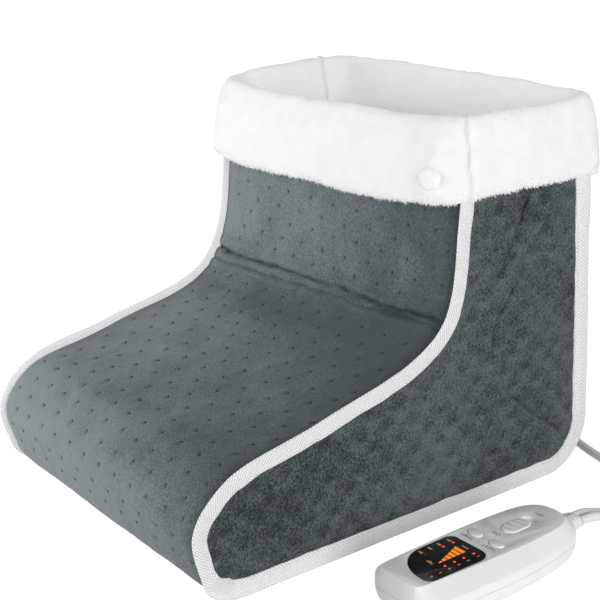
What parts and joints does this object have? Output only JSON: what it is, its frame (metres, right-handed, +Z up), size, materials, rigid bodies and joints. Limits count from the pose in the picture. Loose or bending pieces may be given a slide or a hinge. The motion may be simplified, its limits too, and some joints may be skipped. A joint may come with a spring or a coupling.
{
  "type": "electric foot warmer",
  "caption": "Large plush boot-shaped heated foot warmer with a fold-down fleece cuff, white bound seams and a corded hand controller with heat and timer buttons.",
  "frame": {"origin": "middle of the sole, on the surface that the boot stands on", "axes": "+Z up out of the leg opening, -Y towards the toe, +X towards the side where the controller lies"},
  "size_m": [0.3686, 0.4446, 0.2602],
  "materials": {
    "dark_plush": "long-napped dark grey plush with soft quilted dimples",
    "light_plush": "short grey plush with a staggered grid of small pinched dots",
    "binding_tape": "white herringbone cotton tape folded over the seam",
    "sole_fabric": "dark woven sole cloth with small rubber grip dots",
    "fleece": "white high-pile fleece",
    "foam": "soft polyurethane foam and wadding",
    "felt": "needled felt that carries the heating wire",
    "wire_insulation": "red silicone insulation",
    "component_black": "moulded black component body",
    "plated_metal": "plated steel",
    "cord": "white PVC sheath, slightly glossy",
    "relief_rubber": "white moulded PVC",
    "white_plastic": "white satin ABS moulding",
    "window_black": "glossy black printed window with orange numerals and red lamps",
    "guide_plastic": "white moulded light guide",
    "board": "green solder-masked circuit board",
    "led": "red tinted lamp",
    "button_plastic": "white satin ABS, a little paler than the housing",
    "plug_brass": "plain nickel-brass blades"
  },
  "bodies": {
    "foot_warmer": {"side_panel_right": "dark_plush", "side_panel_left": "dark_plush", "binding_right": "binding_tape", "binding_left": "binding_tape", "front_gusset": "light_plush", "back_gusset": "light_plush", "sole_panel": "sole_fabric", "side_lining_right": "fleece", "side_lining_left": "fleece", "front_lining": "fleece", "back_lining": "fleece", "insole_lining": "fleece", "fleece_cuff": "fleece", "cuff_stud": "fleece", "sole_foam": "foam", "comfort_wadding": "foam", "heater_carrier": "felt", "heating_wire": "wire_insulation", "thermostat": "component_black", "thermal_fuse": "plated_metal", "inner_lead": "cord", "cord_gland": "relief_rubber", "controller_front_shell": "white_plastic", "controller_back_shell": "white_plastic", "display_window": "window_black", "light_guide": "guide_plastic", "circuit_board": "board", "led_heat_1": "led", "led_heat_2": "led", "led_heat_3": "led", "led_heat_4": "led", "led_heat_5": "led", "led_heat_6": "led", "led_timer_2h": "led", "led_timer_4h": "led", "led_timer_6h": "led", "led_timer_8h": "led", "heat_switch": "component_black", "timer_switch": "component_black", "slide_switch": "plated_metal", "strain_relief": "relief_rubber", "housing_screw_1": "plated_metal", "housing_screw_2": "plated_metal", "housing_screw_3": "plated_metal", "housing_screw_4": "plated_metal", "heater_cord": "cord", "mains_cord": "cord", "mains_coil": "cord", "mains_tail": "cord", "plug_body": "relief_rubber", "plug_blade_1": "plug_brass", "plug_blade_2": "plug_brass"},
    "heat_button": {"heat_button": "button_plastic"},
    "timer_button": {"timer_button": "button_plastic"},
    "power_slider": {"power_slider": "button_plastic"}
  },
  "joints": [
    {"name": "heat_button_press", "type": "slide", "parent": "foot_warmer", "child": "heat_button", "axis": [0, 0, -1], "range_m": [0, 0.0008], "stiffness_N_per_m": 400, "springref_m": -0.0004},
    {"name": "timer_button_press", "type": "slide", "parent": "foot_warmer", "child": "timer_button", "axis": [0, 0, -1], "range_m": [0, 0.0008], "stiffness_N_per_m": 400, "springref_m": -0.0004},
    {"name": "power_slide", "type": "slide", "parent": "foot_warmer", "child": "power_slider", "axis": [0, 1, 0], "range_m": [0, 0.0056]}
  ]
}
